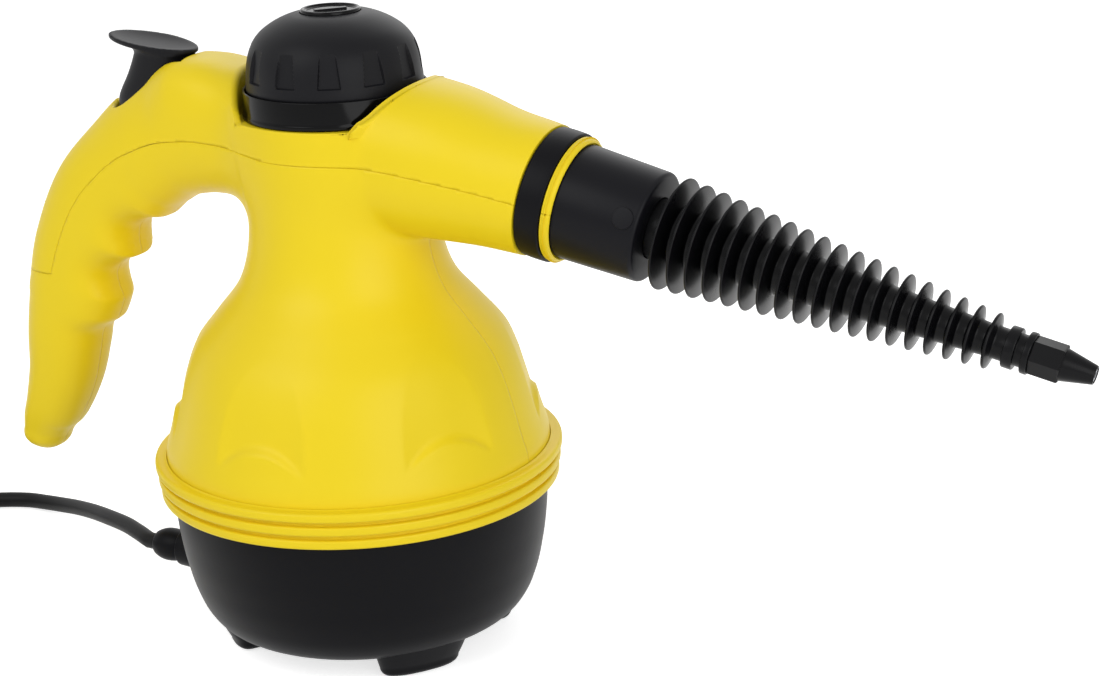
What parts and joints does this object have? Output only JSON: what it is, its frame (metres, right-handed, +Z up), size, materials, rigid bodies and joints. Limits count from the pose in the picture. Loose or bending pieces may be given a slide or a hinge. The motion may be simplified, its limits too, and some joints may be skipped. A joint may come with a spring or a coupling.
{
  "type": "steam cleaner",
  "caption": "Hand-held steam cleaner: kettle-shaped boiler housing with a curved handle, thumb lever, twist-off filler cap and a long finned jet nozzle, with its mains cord.",
  "frame": {"origin": "on the floor under the middle of the cleaner's own box, without its cord and plug", "axes": "+X towards the nozzle, +Y to the cleaner's left, +Z up; the boiler's axis is vertical at X = -55 mm"},
  "size_m": [0.5853, 0.1714, 0.2249],
  "materials": {
    "yellow_shell": "satin gloss",
    "black_satin": "satin",
    "black_gloss": "gloss",
    "dark_plastic": "moulded",
    "cast_aluminium": "cast",
    "brass": "turned",
    "steel": "zinc plated",
    "silicone": "moulded silicone",
    "black_rubber": "moulded",
    "ceramic": "ceramic body"
  },
  "bodies": {
    "housing": {"base_shell": "black_satin", "base_screw_1": "steel", "base_screw_2": "steel", "base_screw_3": "steel", "ribbed_band": "yellow_shell", "cord_gland": "black_rubber", "boiler_lower": "cast_aluminium", "boiler_gasket": "silicone", "boiler_upper": "cast_aluminium", "boiler_bolt_1": "steel", "boiler_bolt_2": "steel", "boiler_bolt_3": "steel", "boiler_bolt_4": "steel", "heating_element": "steel", "thermostat": "ceramic", "thermal_fuse": "ceramic", "terminal_block": "dark_plastic", "filler_neck": "brass", "filler_collar": "black_gloss", "housing_left": "yellow_shell", "housing_right": "yellow_shell", "top_cover": "yellow_shell", "housing_screw_1": "steel", "housing_screw_2": "steel", "housing_screw_3": "steel", "lever_pin": "steel", "neck_ring": "black_gloss", "valve_body": "brass", "valve_spring": "steel", "steam_riser": "brass", "steam_pipe": "brass", "nozzle_spigot": "dark_plastic", "nozzle_seal": "silicone", "cord_lead": "black_rubber", "cord_coil": "black_rubber", "cord_tail": "black_rubber", "plug_body": "black_rubber", "plug_pin_left": "steel", "plug_pin_right": "steel"},
    "lever": {"thumb_lever": "black_satin"},
    "stem": {"valve_stem": "steel"},
    "nozzle": {"nozzle_cup": "black_satin", "nozzle_barrel": "black_satin", "nozzle_insert": "steel"},
    "cap_lift": {"cap_seal": "silicone"},
    "plug": {"cap_plug": "dark_plastic", "relief_valve": "brass"},
    "knob": {"cap_knob": "black_satin", "cap_disc": "black_gloss", "cap_spring": "steel"}
  },
  "joints": [
    {"name": "lever_press", "type": "hinge", "parent": "housing", "child": "lever", "pos_m": [-0.11118, 0, 0.1755], "axis": [0, -1, 0], "range_deg": [0, 8], "stiffness_Nm_per_rad": 1.2, "springref_deg": -6.88},
    {"name": "valve_open", "type": "slide", "parent": "housing", "child": "stem", "axis": [1, 0, 0], "range_m": [0, 0.00133]},
    {"name": "nozzle_twist", "type": "hinge", "parent": "housing", "child": "nozzle", "pos_m": [0.01902, 0, 0.1673], "axis": [-0.9732, 0, 0.23], "range_deg": [0, 60]},
    {"name": "cap_rise", "type": "slide", "parent": "housing", "child": "cap_lift", "axis": [0, 0, 1], "range_m": [0, 0.009]},
    {"name": "cap_turn", "type": "hinge", "parent": "cap_lift", "child": "plug", "pos_m": [-0.05918, 0, 0.2], "axis": [0, 0, 1], "range_deg": [0, 1080]},
    {"name": "cap_press", "type": "slide", "parent": "plug", "child": "knob", "axis": [0, 0, -1], "range_m": [0, 0.003], "stiffness_N_per_m": 900, "springref_m": -0.004, "deforming": ["cap_spring"]}
  ],
  "couplings": [
    {"joint": "lever_press", "follows": "valve_open", "rad_per_m": 105.26},
    {"joint": "cap_turn", "follows": "cap_rise", "rad_per_m": 2094.4}
  ]
}
